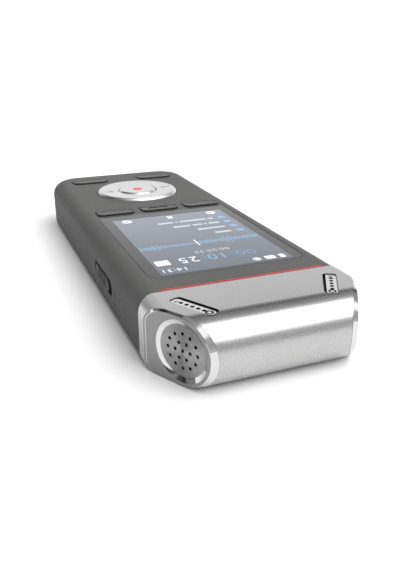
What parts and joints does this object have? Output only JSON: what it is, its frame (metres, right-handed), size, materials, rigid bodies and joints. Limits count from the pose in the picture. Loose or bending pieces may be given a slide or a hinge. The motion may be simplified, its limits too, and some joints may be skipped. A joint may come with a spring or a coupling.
{
  "type": "handheld dictation recorder",
  "caption": "Slim pocket dictation recorder with a colour display, keys, a four-way ring and a metal microphone head with slanted ends.",
  "frame": {"origin": "centre of the flat back that the recorder lies on", "axes": "+Z out of the display, +Y toward the microphone head, +X to the right when facing the display"},
  "size_m": [0.0452, 0.125, 0.0149],
  "materials": {
    "dark_plastic": "fine soft-touch texture",
    "silver_metal": "satin anodised",
    "polished_metal": "polished plate",
    "silver_paint": "satin silver paint",
    "red_plastic": "translucent red",
    "window_glass": "clear, faintly tinted",
    "display": "lit colour display",
    "board": "green solder mask",
    "black_plastic": "moulded",
    "black_rubber": "soft moulded",
    "plated_steel": "plated",
    "battery_foil": "dull foil pouch"
  },
  "bodies": {
    "case": {"front_housing": "dark_plastic", "rear_housing": "dark_plastic", "accent_strip": "red_plastic", "case_screw_1": "plated_steel", "case_screw_2": "plated_steel", "case_screw_3": "plated_steel", "case_screw_4": "plated_steel", "display_window": "window_glass", "display_module": "display", "slide_switch_body": "plated_steel", "head_sleeve": "silver_metal", "slot_grille_right": "polished_metal", "slot_grille_left": "polished_metal", "end_cap_right": "silver_metal", "end_cap_left": "silver_metal", "mic_grille_right": "silver_metal", "mic_grille_left": "silver_metal", "mic_capsule_right": "plated_steel", "mic_capsule_left": "plated_steel", "mic_boot_right": "black_rubber", "mic_boot_left": "black_rubber", "head_frame": "black_plastic", "main_board": "board", "key_board": "board", "dome_sheet": "plated_steel", "processor_chip": "black_plastic", "memory_chip": "black_plastic", "battery_pack": "battery_foil", "loudspeaker": "black_plastic", "earphone_socket": "black_plastic", "microphone_socket": "black_plastic", "card_socket": "plated_steel", "usb_socket": "plated_steel"},
    "soft_key_right": {"soft_key_right": "dark_plastic"},
    "home_key": {"home_key": "dark_plastic"},
    "soft_key_left": {"soft_key_left": "dark_plastic"},
    "lower_key_right": {"lower_key_right": "dark_plastic"},
    "lower_key_left": {"lower_key_left": "dark_plastic"},
    "record_button": {"record_button": "silver_paint"},
    "ring_rocker": {"ring_rocker": "black_plastic"},
    "nav_ring": {"nav_ring": "silver_paint"},
    "slide_switch_knob": {"slide_switch_knob": "dark_plastic"}
  },
  "joints": [
    {"name": "soft_key_right_press", "type": "slide", "parent": "case", "child": "soft_key_right", "axis": [0, 0, -1], "range_m": [0, 0.0004], "stiffness_N_per_m": 3000},
    {"name": "home_key_press", "type": "slide", "parent": "case", "child": "home_key", "axis": [0, 0, -1], "range_m": [0, 0.0004], "stiffness_N_per_m": 3000},
    {"name": "soft_key_left_press", "type": "slide", "parent": "case", "child": "soft_key_left", "axis": [0, 0, -1], "range_m": [0, 0.0004], "stiffness_N_per_m": 3000},
    {"name": "lower_key_right_press", "type": "slide", "parent": "case", "child": "lower_key_right", "axis": [0, 0, -1], "range_m": [0, 0.0004], "stiffness_N_per_m": 3000},
    {"name": "lower_key_left_press", "type": "slide", "parent": "case", "child": "lower_key_left", "axis": [0, 0, -1], "range_m": [0, 0.0004], "stiffness_N_per_m": 3000},
    {"name": "record_button_press", "type": "slide", "parent": "case", "child": "record_button", "axis": [0, 0, -1], "range_m": [0, 0.0004], "stiffness_N_per_m": 3000},
    {"name": "ring_tip_up_down", "type": "hinge", "parent": "case", "child": "ring_rocker", "pos_m": [0, -0.0331, 0.0112], "axis": [1, 0, 0], "range_deg": [-1.4, 1.4], "stiffness_Nm_per_rad": 0.4},
    {"name": "ring_tip_left_right", "type": "hinge", "parent": "ring_rocker", "child": "nav_ring", "pos_m": [0, -0.0331, 0.0112], "axis": [0, 1, 0], "range_deg": [-1.4, 1.4], "stiffness_Nm_per_rad": 0.4},
    {"name": "slide_switch_travel", "type": "slide", "parent": "case", "child": "slide_switch_knob", "axis": [0, 1, 0], "range_m": [-0.0018, 0.0018]}
  ]
}
